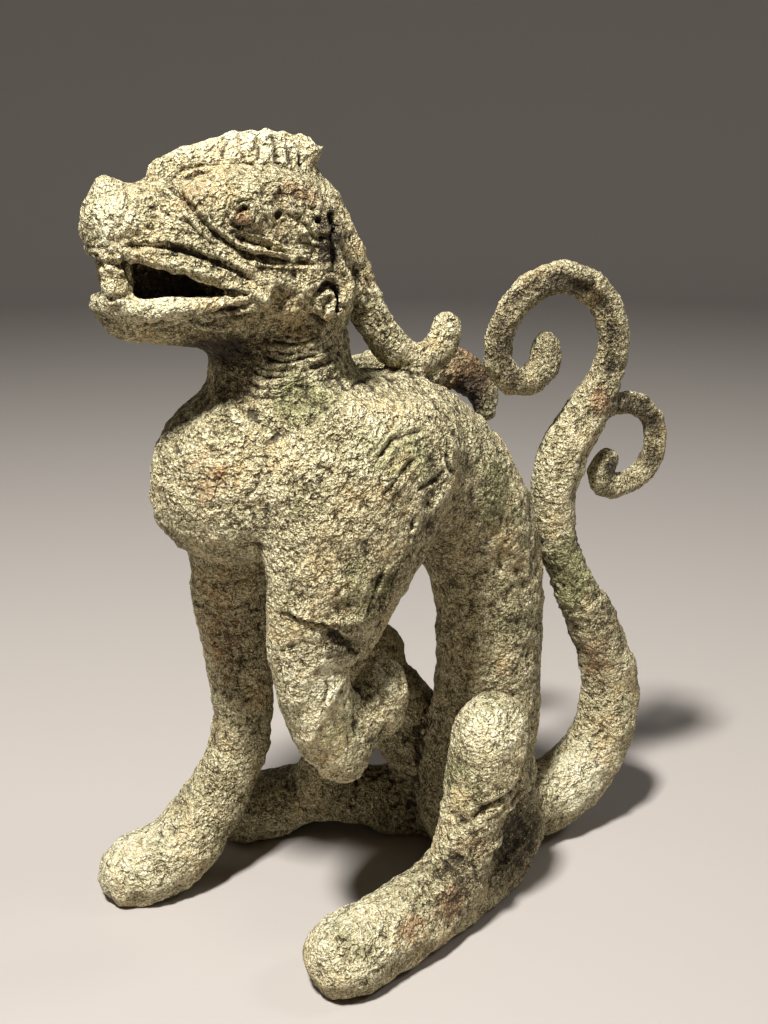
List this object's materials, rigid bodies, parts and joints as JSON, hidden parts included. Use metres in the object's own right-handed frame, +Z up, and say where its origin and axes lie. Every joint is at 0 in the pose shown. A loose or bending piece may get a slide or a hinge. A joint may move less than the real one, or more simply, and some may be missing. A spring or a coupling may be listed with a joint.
{
  "type": "seated bronze dragon figure",
  "caption": "Seated dragon of cast bronze, head raised with open jaws and a fluted crest, one foreleg lifted, a mane lock on the back and a tail that rises in scrolls.",
  "frame": {"origin": "on the ground, at the middle of the figure's bounding box", "axes": "+Z up, the dragon faces -Y, and its left side is towards +X"},
  "size_m": [0.1462, 0.2424, 0.2989],
  "materials": {
    "patinated_bronze": "cast bronze under a thick, rough and pitted corrosion crust, pale yellow-green to grey-green with ochre, rust and near-black patches, not shiny"
  },
  "bodies": {
    "root": {"dragon": "patinated_bronze"}
  },
  "joints": []
}
